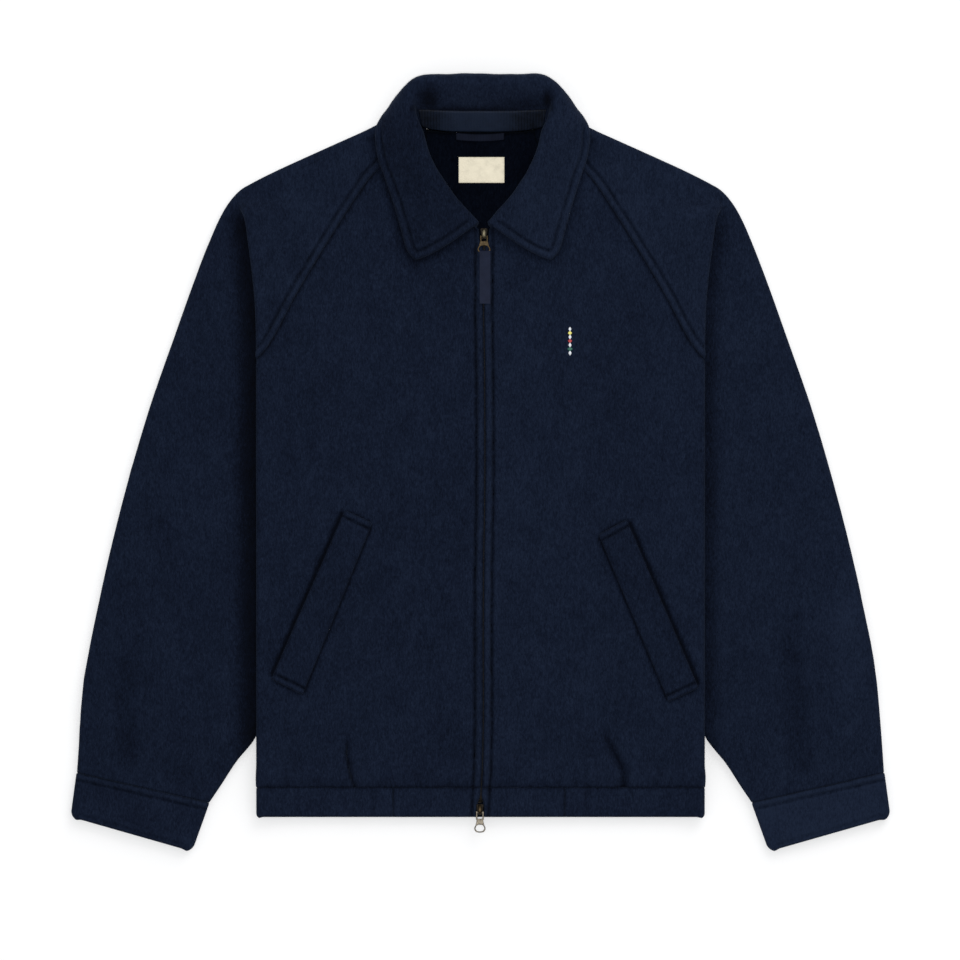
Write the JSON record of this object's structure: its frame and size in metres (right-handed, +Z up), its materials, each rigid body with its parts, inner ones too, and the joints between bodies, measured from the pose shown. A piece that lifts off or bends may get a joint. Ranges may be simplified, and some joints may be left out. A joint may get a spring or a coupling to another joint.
{
  "type": "fleece jacket",
  "caption": "Raglan-sleeve fleece jacket laid flat on its back, zipped closed, with a turned-down collar, slanted welt pockets, plain cuffs and a gathered hem.",
  "frame": {"origin": "centre of the jacket's outline on the surface that it lies on", "axes": "+X to the right of the picture, +Y from the hem to the neck, +Z up from the surface, the way the fronts face"},
  "size_m": [0.8196, 0.7774, 0.0382],
  "materials": {
    "fleece": "dark navy brushed fleece with a short nap",
    "satin": "dark navy tape with a soft sheen",
    "label": "cream woven satin, blank",
    "tape": "dark navy woven zip tape",
    "zip_metal": "aged brass"
  },
  "bodies": {
    "jacket": {"back": "fleece", "front_left": "fleece", "front_right": "fleece", "sleeve_left": "fleece", "sleeve_right": "fleece", "collar": "fleece", "neck_band": "satin", "hanger_loop": "satin", "neck_label": "label", "cuff_left": "fleece", "cuff_right": "fleece", "hem_tab_left": "fleece", "hem_tab_right": "fleece", "hem_band": "fleece", "pocket_welt_left": "fleece", "pocket_welt_right": "fleece", "zip_tape_left": "tape", "zip_tape_right": "tape", "zip_chain": "zip_metal", "zip_slider_upper": "zip_metal", "zip_slider_lower": "zip_metal"},
    "upper_pull": {"zip_pull_upper": "zip_metal", "zip_pull_tab": "tape"},
    "lower_pull": {"zip_pull_lower": "zip_metal"}
  },
  "joints": [
    {"name": "upper_pull_hinge", "type": "hinge", "parent": "jacket", "child": "upper_pull", "pos_m": [0.0035, 0.225, 0.0113], "axis": [-1, 0, 0], "range_deg": [0, 130]},
    {"name": "lower_pull_hinge", "type": "hinge", "parent": "jacket", "child": "lower_pull", "pos_m": [-0.0006, -0.351, 0.0113], "axis": [-1, 0, 0], "range_deg": [0, 130]}
  ]
}
